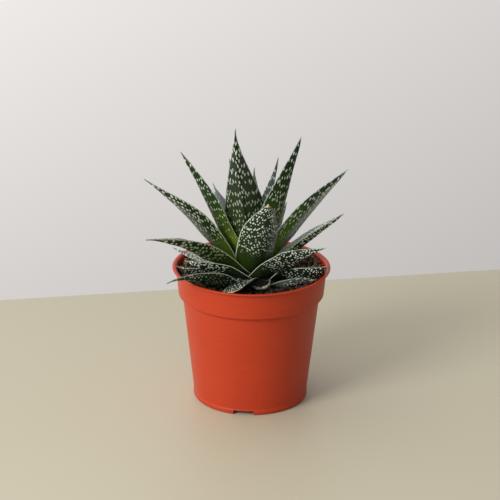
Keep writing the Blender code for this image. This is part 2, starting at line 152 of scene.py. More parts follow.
INNER = {"marks": FINE_DASHES, "marks_from": 0.25, "grey": 0.6, "bloom": 0.6, "finish": "inner"}
LEAVES = {
    "leaf_middle_tall": leaf(
        -12, 25, 85, 89.3, 21.4, 218.6, 34, tip_azimuth=-36.6, shoulder=0.8, taper=1.57, base=0.75,
        roll=26, pull=0.27, tip_pull=0.27, marks=DASHES, marks_from=0.17, pale=0.25, grey=0.95, crease=1.0,
        bloom=0.0, finish="inner",
    ),
    "leaf_left_upper": leaf(
        -93.5, 20.6, 59.9, 53.6, 53.3, 197.1, 30, tip_azimuth=-82.4, shoulder=0.55, base=1.0, channel=0.3,
        roll=18, pull=0.36, tip_pull=0.36, marks=FINE_DASHES, marks_from=0.15, pale=0.4, grey=0.2, lush=0.14,
        bloom=0.1, finish="inner",
    ),
    "leaf_left_long": leaf(
        -81.1, 13, 56.4, 37.9, 87.1, 186.4, 23, tip_azimuth=-64.6, plump=0.27, shoulder=0.67, taper=1.35,
        base=1.34, channel=0.3, roll=30, pull=0.48, tip_pull=0.45, marks=LONG_DASHES, marks_from=0.18,
        pale=0.6, grey=0.25, lush=-0.07, bloom=1.0, bloom_at=-0.55, bare=0.35, hem=1.5, finish="inner",
    ),
    "leaf_left_arching": leaf(
        -67.9, 12, 35.4, 11.5, 101.3, 150.3, 30.5, tip_azimuth=-48.8, plump=0.24, shoulder=0.74, taper=1.41,
        base=1.09, channel=0.5, roll=14, pull=0.4, tip_pull=0.46, marks=BLOTCHES, marks_from=0.2, pale=0.12,
        grey=0.15, hem=1.8,
    ),
    "leaf_left_under": leaf(
        -102, 9.8, 7, 22.6, 61.0, 113.3, 17.4, tip_azimuth=-103.3, plump=0.17, pale=0.7, grey=1.0, bloom=1.0,
        bloom_at=-0.6,
    ),
    "leaf_left_low": leaf(
        -57.5, 7, 34.2, 16.8, 50.6, 112.1, 23.7, tip_azimuth=-78.9, plump=0.2, shoulder=0.6, base=1.75,
        roll=25, pale=0.9, grey=0.1, hem=1.6, finish="low",
    ),
    "leaf_left_lowest": leaf(
        -86.8, 2, 11.4, 27.8, 56.0, 105.0, 20.5, tip_azimuth=-86.8, base=1.4, roll=28, tip_pull=0.28,
        plump=0.17, marks=ROUND_DOTS, pale=0.8, grey=0.5, bloom=0.5, finish="low",
    ),
    "leaf_left_over_lip": leaf(
        -37, 0, 12.8, -10.7, 83.0, 112.1, 21.4, tip_azimuth=-48, shoulder=0.82, taper=1.44, base=1.3,
        channel=0.4, roll=40, tip_pull=0.45, marks=ROUND_DOTS, marks_from=0.05, pale=0.12, grey=0.0,
        bloom=0.0, finish="low",
    ),
    "leaf_front_curled": leaf(
        -6, 7, 0, -10, 45.0, 100.0, 18, tip_azimuth=-18, plump=0.12, shoulder=0.08, taper=0.3, base=0.85,
        channel=0.35, roll=22, marks=ROUND_DOTS, marks_from=0.08, pale=0.9, bloom=0.0, hem=2.6, dry=0.07,
        finish="low",
    ),
    "leaf_front_dried": leaf(
        5, 0.8, 4, 85, 30.0, 103.5, 3.4, tip_azimuth=28, base=1.0, channel=1.0, pull=0.8, tip_pull=0.6,
        finish="dried",
    ),
    "leaf_front_short": leaf(
        3.3, 13.7, 57.5, 64.1, 29.8, 163.9, 28.8, tip_azimuth=23.6, shoulder=0.51, taper=0.87, base=0.95,
        channel=0.3, roll=-2, pull=0.39, tip_pull=0.31, marks=WORMS, marks_from=0.27, pale=0.6, grey=0.3,
        bloom=0.8, bloom_at=0.35, hem=2.2, dry=0.035,
    ),
    "leaf_right_tall": leaf(
        55.7, 22, 71.4, 68.8, 36.0, 209.4, 34.5, tip_azimuth=81.3, shoulder=0.71, taper=0.98, base=0.8,
        roll=-12, marks=BROAD_DASHES, marks_from=0.1, grey=0.0, lush=0.12, pale=0.4, bloom=0.0, hem=2.0,
        finish="cool",
    ),
    "leaf_right_long": leaf(
        93.5, 15.5, 59.6, 44, 70.4, 183.4, 26.7, tip_azimuth=87.4, plump=0.24, shoulder=0.57, taper=1.0,
        base=1.19, channel=0.3, roll=-35, pull=0.36, tip_pull=0.35, marks=LONG_DASHES, marks_from=0.16,
        grey=0.5, lush=0.2, pale=0.45, bloom=0.9, bloom_at=-0.55, bare=0.3, hem=2.0, finish="cool",
    ),
    "leaf_right_low": leaf(
        95.4, 11, 44.5, 31.3, 68.6, 145.2, 20.7, tip_azimuth=94.3, plump=0.26, shoulder=0.53, taper=1.1,
        base=1.48, channel=0.4, roll=-12, tip_pull=0.36, pale=0.9, grey=0.2, bloom=1.0, bloom_at=-0.2,
        bare=0.6, hem=1.4, finish="inner",
    ),
    "leaf_right_front": leaf(
        57.0, 7.8, 38.8, 17.5, 66.5, 134.3, 30, tip_azimuth=54.9, plump=0.2, shoulder=0.56, taper=1.36,
        base=1.5, channel=0.4, roll=-22, pull=0.34, tip_pull=0.4, marks=FINE_DOTS, marks_from=0.13, pale=0.8,
        grey=0.3, bloom=0.8, bloom_at=0.1, bare=0.7, hem=1.3, finish="low",
    ),
    "leaf_right_lowest": leaf(
        71.2, 4.2, 7.7, 43.8, 59.2, 112.2, 23.5, tip_azimuth=71.1, plump=0.2, shoulder=0.55, taper=0.7,
        base=1.2, roll=-38, marks=ROUND_DOTS, pale=1.0, grey=0.0, bloom=0.0, hem=2.4, finish="low",
    ),
    "leaf_right_small": leaf(
        38, 0.6, 4, 8, 52.5, 102, 13, tip_azimuth=67, roll=-36, shoulder=0.5, taper=0.9, pale=1.0, grey=1.0,
        bloom=0.6, bloom_at=-1.5, marks_from=0.3, finish="low",
    ),
    "leaf_back_right": leaf(
        157.5, 19.2, 75, 72.7, 27.5, 184.2, 17.9, tip_azimuth=135.7, base=0.6, roll=-28,
        **{**INNER, "grey": 0.1, "bloom": 0.0, "pale": 0.9, "hem": 0.3, "finish": "cool"},
    ),
    "leaf_back_right_short": leaf(
        139, 13.5, 64.8, 65, 33.9, 147.8, 18, tip_azimuth=129.8, roll=-14, **{**INNER, "bloom": 1.0},
    ),
    "leaf_back_inner": leaf(174, 24, 84, 68, 21.0, 175.5, 15, tip_azimuth=176, base=0.42, **INNER),
    "leaf_back_left_inner": leaf(-139, 22.4, 71, 76, 28.0, 182.0, 15, tip_azimuth=-142, base=0.42, **INNER),
    "leaf_back_left": leaf(
        -142, 15, 60, 60, 39.9, 160.8, 18, tip_azimuth=-132, base=0.5, roll=-20,
        **{**INNER, "grey": 1.0, "bloom": 1.2, "bloom_at": -1.0, "finish": "cool"},
    ),
    "leaf_back_middle": leaf(180, 10, 30, 30, 60.0, 126.0, 20),
    "leaf_back_left_low": leaf(-148, 5, 10, 8, 54.0, 105.0, 18),
    "leaf_back_low": leaf(162, 6, 10, 8, 52.0, 106.0, 18),
    "leaf_back_right_low": leaf(128, 9.5, 14, 4, 46.0, 106.0, 17),
    "leaf_youngest": leaf(130, 27.2, 80, 84, 6.0, 148.0, 5, base=0.5, **INNER),
}

# Pot: one closed profile turned about the axis. Radius, height and rounding of each corner
POT_UNDERSIDE = ((23.0, 0.0, 0.6), (24.6, 3.0, 0.8), (40.2, 3.0, 0.8), (41.2, 0.0, 0.4))
POT_OUTSIDE = (
    (42.8, 0.0, 0.5), (43.7, 1.2, 0.8), (43.8, 3.6, 0.5), (43.4, 4.4, 0.4),
    (52.0, 81.2, 0.25), (55.3, 83.8, 0.5), (57.1, 103.4, 0.3),
)
POT_LIP = (
    (58.9, 103.5, 0.3), (60.0, 104.1, 0.35), (59.9, 104.8, 0.35), (58.2, 105.0, 0.35), (57.0, 104.5, 0.5),
)
POT_INSIDE = (
    (56.3, 103.2, 0.5), (54.5, 84.9, 0.5), (51.0, 81.6, 0.5), (42.4, 5.2, 0.5), (41.4, 4.2, 0.4),
)
POT_FLOOR = ((25.4, 4.2, 0.6), (23.8, 1.2, 0.6))
POT_PROFILE = POT_UNDERSIDE + POT_OUTSIDE + POT_LIP + POT_INSIDE + POT_FLOOR
POT_SEGMENTS = 240
NOTCH_AZIMUTHS = (-6.6, 113.4, 233.4)
NOTCH_SIZE = (15.6, 6.0, 3.7)
NOTCH_REACH = 42.5
DRAIN_COUNT = 6
DRAIN_RADIUS = 4.0
DRAIN_REACH = 32.5
FIRST_DRAIN = 30.0

# Soil: its crumbs lie between the stem and the wall, level as far as LEVEL_RINGS
SOIL_LEVEL = 94.6
SOIL_RISE = 8.6
SOIL_EDGE = 55.2
LEVEL_RINGS = 26.0
CRUMBS_FROM = 21.0
LUMPS = 590
GRIT = 1500
FIBRES = 110
FIBRE_LENGTHS = (4.0, 13.0)
FIBRE_RADII = (0.09, 0.24)
FIBRE_REACHES = (24.0, 48.0)

# Light of the room: brighter behind the plant, on its left and overhead. Each ramp has its axis, its range of
# directions and the tone at both ends of the range
ROOM_LIGHT = 0.70
ROOM_RAMPS = (("Y", -0.3, 0.8, 0.72, 1.0), ("X", -0.6, 0.6, 1.66, 0.34), ("Z", -0.45, -0.15, 0.69, 1.3))
ROOM_TINT = (1.0, 0.962, 0.935, 1.0)

# Soft key light from the upper left: its place, the point it faces and its size in metres, power and colour
KEY_PLACE = (-1.0, -1.0, 0.95)
KEY_AIM = (0.0, 0.0, 0.10)
KEY_SIZE = (0.6, 0.6)
KEY_POWER = 18.0
KEY_TINT = (1.0, 0.97, 0.93)

# Table top, whose far edge runs slightly askew
TABLE_CORNERS = ((-1500, -1400, 0), (1500, -1400, 0), (1500, 509, 0), (-1500, -64, 0))

# Camera: place in metres, pitch in degrees, roll in radians, focal length and picture width in pixels
CAMERA_PLACE = (-0.00117, -1.570, 0.719)
CAMERA_PITCH = 20.96
CAMERA_ROLL = 0.0095
FOCAL_PIXELS = 2223.0
PICTURE_PIXELS = 500.0
SENSOR_WIDTH = 36.0


# Materials


class Finish:
    """One procedural material: its Principled shader and short ways to add nodes that feed it."""

    def __init__(self, name, roughness, **settings):
        self.material = bpy.data.materials.new(name)
        self.material.use_nodes = True
        self.tree = self.material.node_tree
        self.shader = self.tree.nodes["Principled BSDF"]
        self.shader.inputs["Roughness"].default_value = roughness
        for socket, value in settings.items():
            self.shader.inputs[socket.replace("_", " ")].default_value = value

    def node(self, kind, sockets=(), **settings):
        made = self.tree.nodes.new("ShaderNode" + kind)
        for key, value in settings.items():
            setattr(made, key, value)
        for key, value in dict(sockets).items():
            self.feed(made.inputs[key], value)
        return made

    def feed(self, socket, value):
        if isinstance(value, bpy.types.NodeSocket):
            self.tree.links.new(value, socket)
        elif value is not None:
            socket.default_value = value

    def attribute(self, name):
        return self.node("Attribute", attribute_name=name).outputs["Fac"]

    def place(self):
        return self.node("TexCoord").outputs["Object"]

    def math(self, operation, first, second=None, third=None, clamp=False):
        made = self.node("Math", operation=operation, use_clamp=clamp)
        for socket, value in zip(made.inputs, (first, second, third)):
            self.feed(socket, value)
        return made.outputs[0]

    def between(self, value, low, high, to_low=0.0, to_high=1.0):
        """Smoothly carries value from low..high to to_low..to_high."""
        made = self.node("MapRange", interpolation_type="SMOOTHSTEP")
        for socket, number in zip(made.inputs, (value, low, high, to_low, to_high)):
            self.feed(socket, number)
        return made.outputs[0]

    def mix(self, share, first, second, blend="MIX"):
        made = self.node("Mix", data_type="RGBA", blend_type=blend)
        self.feed(made.inputs[0], share)
        for socket, colour in ((made.inputs[6], first), (made.inputs[7], second)):
            self.feed(socket, (*colour, 1.0) if isinstance(colour, tuple) else colour)
        return made.outputs[2]

    def ramp(self, value, stops):
        made = self.node("ValToRGB", {"Fac": value})
        bar = made.color_ramp.elements
        while len(bar) < len(stops):
            bar.new(0.5)
        for element, (position, colour) in zip(bar, stops):
            element.position = position
            element.color = (*colour, 1.0)
        return made.outputs["Color"]

    def noise(self, vector, scale, detail=3.0, roughness=0.55):
        sockets = {"Vector": vector, "Scale": scale, "Detail": detail, "Roughness": roughness}
        return self.node("TexNoise", sockets).outputs["Fac"]

    def scaled(self, vector, scale):
        return self.node("Mapping", {"Vector": vector, "Scale": scale}).outputs["Vector"]

    def bump(self, height, distance, strength=1.0, normal=None):
        sockets = {"Height": height, "Distance": distance, "Strength": strength, "Normal": normal}
        return self.node("Bump", sockets).outputs["Normal"]

    def finish(self, colour, normal=None, roughness=None):
        self.feed(self.shader.inputs["Base Color"], colour)
        self.feed(self.shader.inputs["Normal"], normal)
        self.feed(self.shader.inputs["Roughness"], roughness)
        return self.material


def leaf_finish(name, fresh, dull, wax_and_sheen_colour, young_mark, mark, pale_mark, rim):
    """Leaf skin: green that changes along the leaf, pale raised marks, a pale margin (rim) that also carries
    a painted highlight, and a dry awn.

    The fresh and dull colours are ramps along the leaf, shifted by the leaf's own lush share, and its
    grey share leads from one to the other. A glaucous grey, in the colour wax_and_sheen_colour, greys the
    face
    and one flank: partly the leaf's own coat and partly a painted sheen. A painted shade darkens a line along
    the keel. The skin is darker close round each mark. The marks go from young_mark near the base to mark and
    pale_mark, by how pale the leaf's marks are.
    """
    made = Finish(name, 0.5, Specular_IOR_Level=0.13)
    along = made.attribute("along")
    spot = made.attribute("spot")
    edge = made.attribute("edge")
    place = made.place()
    patch = made.noise(place, 95.0, 3.0)
    grain = made.noise(place, 900.0, 2.0)
    shifted = made.math("ADD", along, made.between(patch, 0.3, 0.7, -0.05, 0.05))
    shifted = made.math("SUBTRACT", shifted, made.attribute("lush"))
    clouds = made.between(patch, 0.3, 0.7, -0.2, 0.2)
    greyness = made.math("ADD", made.attribute("grey"), clouds, clamp=True)
    skin = made.mix(greyness, made.ramp(shifted, fresh), made.ramp(shifted, dull))
    # Glaucous grey on the face and the lower flank: partly the leaf's own coat, partly a painted sheen
    bloom = made.math("MULTIPLY", made.attribute("bloom"), made.between(patch, 0.3, 0.7, 0.75, 1.0))
    skin = made.mix(bloom, skin, wax_and_sheen_colour)
    skin = made.mix(made.between(grain, 0.3, 0.7, 0.0, 0.2), skin, (0.006, 0.016, 0.003))
    # Painted shade: a dark line along the keel
    skin = made.mix(made.attribute("crease"), skin, (0.008, 0.014, 0.008))
    skin = made.mix(made.between(spot, -1.0, -0.2, 0.0, 0.6), skin, (0.004, 0.010, 0.004))
    tipwards = made.between(along, 0.35, 0.85, -0.12, 0.25)
    paleness = made.math("ADD", made.attribute("pale"), tipwards, clamp=True)
    tint = made.mix(paleness, mark, pale_mark)
    tint = made.mix(made.between(along, 0.15, 0.42, 0.75, 0.0), tint, young_mark)
    strength = made.math("MULTIPLY", made.between(spot, -0.2, 0.3), made.between(grain, 0.2, 0.8, 0.75, 1.0))
    skin = made.mix(strength, skin, tint)
    # Pale margin line with a painted highlight in it
    hem = made.math("MULTIPLY", made.between(edge, 0.15, 0.7, 1.0, 0.0), made.attribute("hem"))
    hem = made.math("MULTIPLY", hem, made.between(along, 0.4, 0.9, 0.62, 0.3), clamp=True)
    skin = made.mix(hem, skin, rim)
    dead = made.math("ADD", along, made.attribute("dry"))
    straw = made.mix(made.between(patch, 0.35, 0.6), (0.20, 0.15, 0.07), (0.52, 0.46, 0.28))
    skin = made.mix(made.between(dead, 0.99, 1.01), skin, straw)
    normal = made.bump(grain, 0.00008, 0.5)
    return made.finish(skin, normal, made.between(spot, -0.1, 0.4, 0.42, 0.6))


# Greens along a leaf, from its base to its tip. Their bases hold painted light and shade: the bright ramps
# give the inner leaves' bases their paler young green with a painted glow of light through the leaf, the
# shaded ramps paint shade onto the outer leaves' bases, and DEEP_SHADE_GREENS paint the heaviest shade onto
# the low leaves' bases.
DEEP_SHADE_GREENS = (
    (0.0, (0.005, 0.009, 0.003)),
    (0.16, (0.007, 0.013, 0.004)),
    (0.36, (0.009, 0.019, 0.007)),
    (0.62, (0.010, 0.022, 0.010)),
    (1.0, (0.020, 0.036, 0.020)),
)
SHADED_GREENS = (
    (0.0, (0.024, 0.046, 0.003)),
    (0.16, (0.021, 0.044, 0.003)),
    (0.36, (0.014, 0.032, 0.005)),
    (0.62, (0.010, 0.023, 0.008)),
    (1.0, (0.018, 0.033, 0.016)),
)
BRIGHT_GREENS = (
    (0.0, (0.15, 0.24, 0.030)),
    (0.14, (0.085, 0.155, 0.010)),
    (0.36, (0.024, 0.058, 0.005)),
    (0.62, (0.013, 0.032, 0.009)),
    (1.0, (0.018, 0.036, 0.018)),
)
SHADED_GREYS = (
    (0.0, (0.020, 0.040, 0.006)),
    (0.16, (0.024, 0.044, 0.010)),
    (0.34, (0.034, 0.050, 0.028)),
    (0.62, (0.050, 0.060, 0.048)),
    (1.0, (0.050, 0.060, 0.044)),
)
BRIGHT_GREYS = (
    (0.0, (0.15, 0.24, 0.030)),
    (0.14, (0.070, 0.125, 0.012)),
    (0.34, (0.028, 0.044, 0.019)),
    (0.62, (0.034, 0.042, 0.036)),
    (1.0, (0.040, 0.050, 0.038)),
)


def dried_finish():
    """Shrivelled leaf: grey-green and straw in streaks."""
    made = Finish("dried_leaf", 0.7)
    place = made.place()
    streak = made.noise(place, 420.0, 4.0)
    skin = made.ramp(
        streak, ((0.3, (0.06, 0.07, 0.04)), (0.5, (0.26, 0.27, 0.18)), (0.7, (0.5, 0.48, 0.36)))
    )
    return made.finish(skin, made.bump(streak, 0.0004))


def pot_finish():
    """Thin moulded plastic: terracotta orange, faint turned bands on the collar and a few pale scuffs."""
    made = Finish("terracotta_plastic", 0.42, Specular_IOR_Level=0.32)
    place = made.place()
    cloud = made.noise(place, 22.0, 3.0)
    bands = made.noise(made.scaled(place, (6.0, 6.0, 900.0)), 1.0, 2.0)
    speck = made.noise(place, 1500.0, 2.0)
    skin = made.mix(made.between(cloud, 0.3, 0.7), (0.44, 0.036, 0.008), (0.47, 0.040, 0.009))
    skin = made.mix(made.between(bands, 0.45, 0.75, 0.0, 0.08), skin, (0.70, 0.10, 0.04))
    skin = made.mix(made.between(speck, 0.78, 0.84, 0.0, 0.4), skin, (0.75, 0.25, 0.15))
    normal = made.bump(bands, 0.00010, 0.15)
    normal = made.bump(speck, 0.00004, 0.2, normal)
    return made.finish(skin, normal, made.between(cloud, 0.3, 0.7, 0.38, 0.46))


def soil_finish(name, dark, middle, light):
    """Damp peat: dark hollows, partly the peat's own tone and partly painted shade, red-brown crumbs and a
    few lighter ones, and painted shade darkening it at the front, in the gap under the front leaves.
    """
    made = Finish(name, 0.9, Specular_IOR_Level=0.25)
    place = made.place()
    lump = made.noise(place, 330.0, 4.0, 0.65)
    dust = made.noise(place, 1600.0, 2.0)
    # Dark where the bump is low: partly the peat's own tone, partly painted shade in its hollows
    skin = made.ramp(lump, ((0.32, dark), (0.5, middle), (0.72, light)))
    skin = made.mix(made.between(dust, 0.3, 0.75, 0.0, 0.6), skin, dark)
    # Painted shade: darker towards the front, in the shaded gap under the front leaves
    front = made.node("SeparateXYZ", {"Vector": place}).outputs["Y"]
    skin = made.mix(made.between(front, -0.030, -0.008, 0.9, 0.0), skin, dark)
    normal = made.bump(lump, 0.0012)
    return made.finish(skin, made.bump(dust, 0.0003, 1.0, normal))


def plain_finish(name, dark, light, scale, roughness, bump):
    """Two tones of one colour in clouds of the given scale, with a bump of the same grain."""
    made = Finish(name, roughness)
    cloud = made.noise(made.place(), scale, 4.0)
    return made.finish(made.mix(made.between(cloud, 0.3, 0.7), dark, light), made.bump(cloud, bump))


# Meshes


def add_surface(name, points, faces, finish, attributes=()):
    """Adds a piece whose points are in millimetres and which rides on the root body."""
    mesh = bpy.data.meshes.new(name)
    mesh.vertices.add(len(points))
    mesh.vertices.foreach_set("co", (np.asarray(points, np.float32) * MM).ravel())
    sizes = np.array([len(group[0]) for group in faces for _ in group], np.int32)
    corners = np.concatenate([np.asarray(group, np.int32).ravel() for group in faces])
    mesh.loops.add(len(corners))
    mesh.loops.foreach_set("vertex_index", corners)
    mesh.polygons.add(len(sizes))
    mesh.polygons.foreach_set("loop_start", np.concatenate([[0], np.cumsum(sizes)[:-1]]).astype(np.int32))
    mesh.update(calc_edges=True)
    mesh.validate()
    mesh.shade_smooth()
    for key, values in dict(attributes).items():
        layer = mesh.attributes.new(key, "FLOAT", "POINT")
        layer.data.foreach_set("value", np.asarray(values, np.float32).ravel())
    mesh.materials.append(finish)
    made = bpy.data.objects.new(name, mesh)
    bpy.context.scene.collection.objects.link(made)
    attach(made, "root")
    return made


def heading(azimuth):
    """Unit vector of an azimuth in the floor's plane."""
    angle = np.radians(azimuth)
    return np.stack([np.sin(angle), -np.cos(angle), 0 * angle], -1)


def crown_point(step):
    return CROWN_REACH - STEP_IN * step, CROWN_HEIGHT + STEP_UP * step


def midrib(spec, share, start):
    """Points and unit directions of the leaf's cubic curve at each share of its parameter.

    The curve leaves start at the rise angle and reaches the tip at the tip_rise angle; pull and tip_pull
    give the lengths of its two handles as shares of the straight span.
    """
    up = np.array([0.0, 0.0, 1.0])
    away, tip_away = heading(spec.azimuth), heading(spec.tip_azimuth)
    tip = tip_away * spec.reach + up * spec.height
    span = np.linalg.norm(tip - start)
    rise, tip_rise = np.radians(spec.rise), np.radians(spec.tip_rise)
    one = start + span * spec.pull * (away * np.cos(rise) + up * np.sin(rise))
    two = tip - span * spec.tip_pull * (tip_away * np.cos(tip_rise) + up * np.sin(tip_rise))
    t = share[:, None]
    q = 1 - t
    points = q**3 * start + 3 * q * q * t * one + 3 * q * t * t * two + t**3 * tip
    along = q * q * (one - start) + 2 * q * t * (two - one) + t * t * (tip - two)
    return points, along / np.linalg.norm(along, axis=1)[:, None]


def half_width(spec, share):
    """A sine taper towards the tip and a slight narrowing towards the stem, never under the awn's radius."""
    left = 1 - share
    wide = np.sin(np.pi / 2 * np.clip(left / spec.shoulder, 0, 1)) ** spec.taper
    near = np.clip((left - spec.shoulder) / (1 - spec.shoulder), 0, 1)
    wide = wide * (1 - (1 - spec.base) * near * near)
    return np.hypot(0.5 * spec.width * wide, AWN_RADIUS)


def smooth(value, low, high):
    """0 below low, 1 above high, with a cubic blend between."""
    t = np.clip((value - low) / (high - low), 0, 1)
    return t * t * (3 - 2 * t)


def raised_marks(spec, across, along, share, rng):
    """How far inside a raised mark each point lies: 1 at its middle, 0 on its rim, down to -1 between marks.

    The marks are ellipses on a brick-laid lattice over the leaf, whose rows wander by a sine. Each has its
    own shift, size and turn, and some places stay empty, more of them between the crosswise bands. The marks
    fade in from marks_from and out before the tip.
    """
    marks = spec.marks
    table = rng.random((DRAW_ROWS, DRAW_COLUMNS, 6))
    column = across / marks.pitch_across
    wander = ROW_WANDER * np.sin(ROW_WAVE * across + rng.random() * 6.28)
    row = (along + wander) / marks.pitch_along
    field = np.full(across.shape, -1.0)
    for down in (-1, 0, 1):
        i = np.floor(row).astype(int) + down
        brick = 0.5 * (i % 2)
        for over in (-1, 0, 1):
            j = np.floor(column - brick).astype(int) + over
            draw = table[i % DRAW_ROWS, j % DRAW_COLUMNS]
            middle_row = i + 0.5 + 0.7 * (draw[..., 0] - 0.5)
            middle_column = j + 0.5 + brick + 0.4 * (draw[..., 1] - 0.5)
            away = (row - middle_row) * marks.pitch_along
            aside = (column - middle_column) * marks.pitch_across
            turn = marks.turn * (2 * draw[..., 2] - 1)
            length = away * np.cos(turn) + aside * np.sin(turn)
            width = aside * np.cos(turn) - away * np.sin(turn)
            size = marks.size * (0.75 + 0.5 * draw[..., 3])
            chance = marks.dense + marks.contrast * np.cos(2 * np.pi * i / marks.rows)
            inside = 1 - (length / (size * marks.stretch)) ** 2 - (width / size) ** 2
            field = np.maximum(field, np.where(draw[..., 4] < chance, inside, -1.0))
    started = smooth(share, spec.marks_from - 0.05, spec.marks_from + 0.07)
    return np.maximum(field - 1.2 * (1 - started) - 1.2 * smooth(share, 0.93, 0.975), -1.0)


def teeth(along, rng):
    """Saw-like fine teeth: triangles of uneven height, one to each pitch, that lean towards the tip."""
    heights = 0.45 + 0.55 * rng.random(TOOTH_DRAWS)
    place = along / TOOTH_PITCH + 0.25 * np.sin(along * 0.9 + rng.random() * 6.28)
    number = np.floor(place).astype(int)
    within = place - number
    shape = np.where(within < TOOTH_LEAN, within / TOOTH_LEAN, (1 - within) / (1 - TOOTH_LEAN))
    return TOOTH * heights[number % TOOTH_DRAWS] * np.clip(1.6 * shape - 0.6, 0, 1)


def leaf_grid(spec, share, across, on_face, start, rng):
    """Points of a leaf, one row a share, one column an across value from margin (1) to margin (-1).

    The face is a shallow crown and the back a keel, both as shares of a thickness that swells and fades along
    the leaf. The flat section is then bent round the stem at the base and stays slightly channelled. Near the
    stem the section also turns upright, so that the base lies level round the stem.
    The margins get teeth and both sides raised marks, which stand out by the square root of how far inside a
    mark a point lies. The third thing returned holds what the leaf's finish reads at each point.
    """
    middle, direction = midrib(spec, share, start)
    azimuth = spec.azimuth + (spec.tip_azimuth - spec.azimuth) * share
    side = np.stack([np.cos(np.radians(azimuth)), np.sin(np.radians(azimuth)), 0 * azimuth], 1)
    side -= (side * direction).sum(1)[:, None] * direction
    side /= np.linalg.norm(side, axis=1)[:, None]
    face = np.cross(direction, side)
    turn = math.radians(spec.roll)
    level_side, level_face = side, face
    side = level_side * math.cos(turn) + level_face * math.sin(turn)
    face = level_face * math.cos(turn) - level_side * math.sin(turn)
    hug = np.exp(-((share[:, None] / HUG) ** 2))
    side = side * (1 - hug) + level_side * hug
    face = face * (1 - hug) - heading(spec.azimuth) * hug
    side /= np.linalg.norm(side, axis=1)[:, None]
    face /= np.linalg.norm(face, axis=1)[:, None]

    across = across[None, :]
    on_face = on_face[None, :]
    half = half_width(spec, share)[:, None]
    thick = spec.plump * spec.width * np.interp(share, *zip(*FULLNESS))[:, None]
    thick = np.minimum(thick, 0.85 * half + 0.25)
    crowned = FACE_SHARE * (1 - across**2)
    keeled = (1 - FACE_SHARE) * (1 - np.abs(across) ** KEEL_SHAPE)
    depth = np.where(on_face, crowned, -keeled) * thick
    inwards = (1 - np.abs(across)) * half
    rounding = ROUNDING * np.sqrt(np.clip(1 - across**2, 0, 1)) * np.clip(half, 0, 1)
    depth = depth + np.where(on_face, rounding, -rounding)

    run = np.concatenate([[0.0], np.cumsum(np.linalg.norm(np.diff(middle, axis=0), axis=1))])[:, None]
    fade = smooth(share[:, None], 0.16, 0.3) * smooth(half, 0.7, 2.5)
    saw = teeth(run, rng) * fade * np.exp(-((inwards / TOOTH_DEPTH) ** 2))
    offset = across * half + np.sign(across) * saw

    flat = np.broadcast_to(share[:, None], offset.shape)
    far = np.broadcast_to(run, offset.shape)
    upper = raised_marks(spec, offset, far, flat, rng)
    lower = raised_marks(spec, offset + OTHER_SIDE, far, flat, rng)
    lower_side = across * (-1 if spec.roll > 0 else 1)
    lower = np.maximum(lower - 1.6 * spec.bare * smooth(lower_side, -0.1, 0.15), -1.0)
    spot = np.where(on_face, upper, lower)
    bulge = spec.marks.height * np.sqrt(np.clip(spot, 0, 1)) * smooth(inwards, 0.1, 0.5)
    depth = depth + np.where(on_face, bulge, -bulge)

    # Painted shade: a dark line along the middle of the keel
    crease = np.exp(-((offset / KEEL_SHADE_WIDTH) ** 2)) * smooth(flat, 0.2, 0.35)
    # Glaucous grey of the face and the lower flank, partly the leaf's own coat and partly a painted sheen
    wax_and_sheen_share = np.where(on_face, 0.8, smooth(lower_side, spec.bloom_at, spec.bloom_at + 0.5))
    looks = {
        "spot": spot,
        "along": flat,
        "edge": inwards,
        "crease": spec.crease * ~on_face * crease,
        "bloom": spec.bloom * wax_and_sheen_share * smooth(flat, 0.08, 0.35),
        # Pale margin line with a painted highlight, full on the upper margin and half on the lower one
        "hem": spec.hem * np.broadcast_to(np.where(lower_side < 0, 1.0, 0.5), flat.shape),
    }

    clasp = 1 / (1.05 * crown_point(spec.step)[0] + 1)
    bend = 2 * spec.channel / spec.width
    bend = bend + (clasp - bend) * hug
    arc = offset * bend
    radius = 1 / bend - depth
    grid = (
        middle[:, None]
        + side[:, None] * (np.sin(arc) * radius)[..., None]
        + face[:, None] * (1 / bend - np.cos(arc) * radius)[..., None]
    )
    return grid, direction, looks


def rooted_start(spec):
    """Start of the midrib on the crown's cone, so that the leaf's base is grown into the stem."""
    reach, height = crown_point(spec.step)
    return heading(spec.azimuth) * reach + np.array([0.0, 0.0, height])


def spread(count):
    """Across values from 1 down to -1, packed closer at both margins."""
    line = np.linspace(1, -1, count + 1)
    return (0.55 * line + 0.45 * np.sin(line * np.pi / 2))[:-1]


def ring_walls(rows, ring):
    """Numbers of the points in rows of closed rings, of the next point round, and the quads between rows."""
    index = np.arange(rows * ring).reshape(rows, ring)
    after = np.roll(index, -1, axis=1)
    return index, after, np.stack([index[:-1], after[:-1], after[1:], index[1:]], -1).reshape(-1, 4)


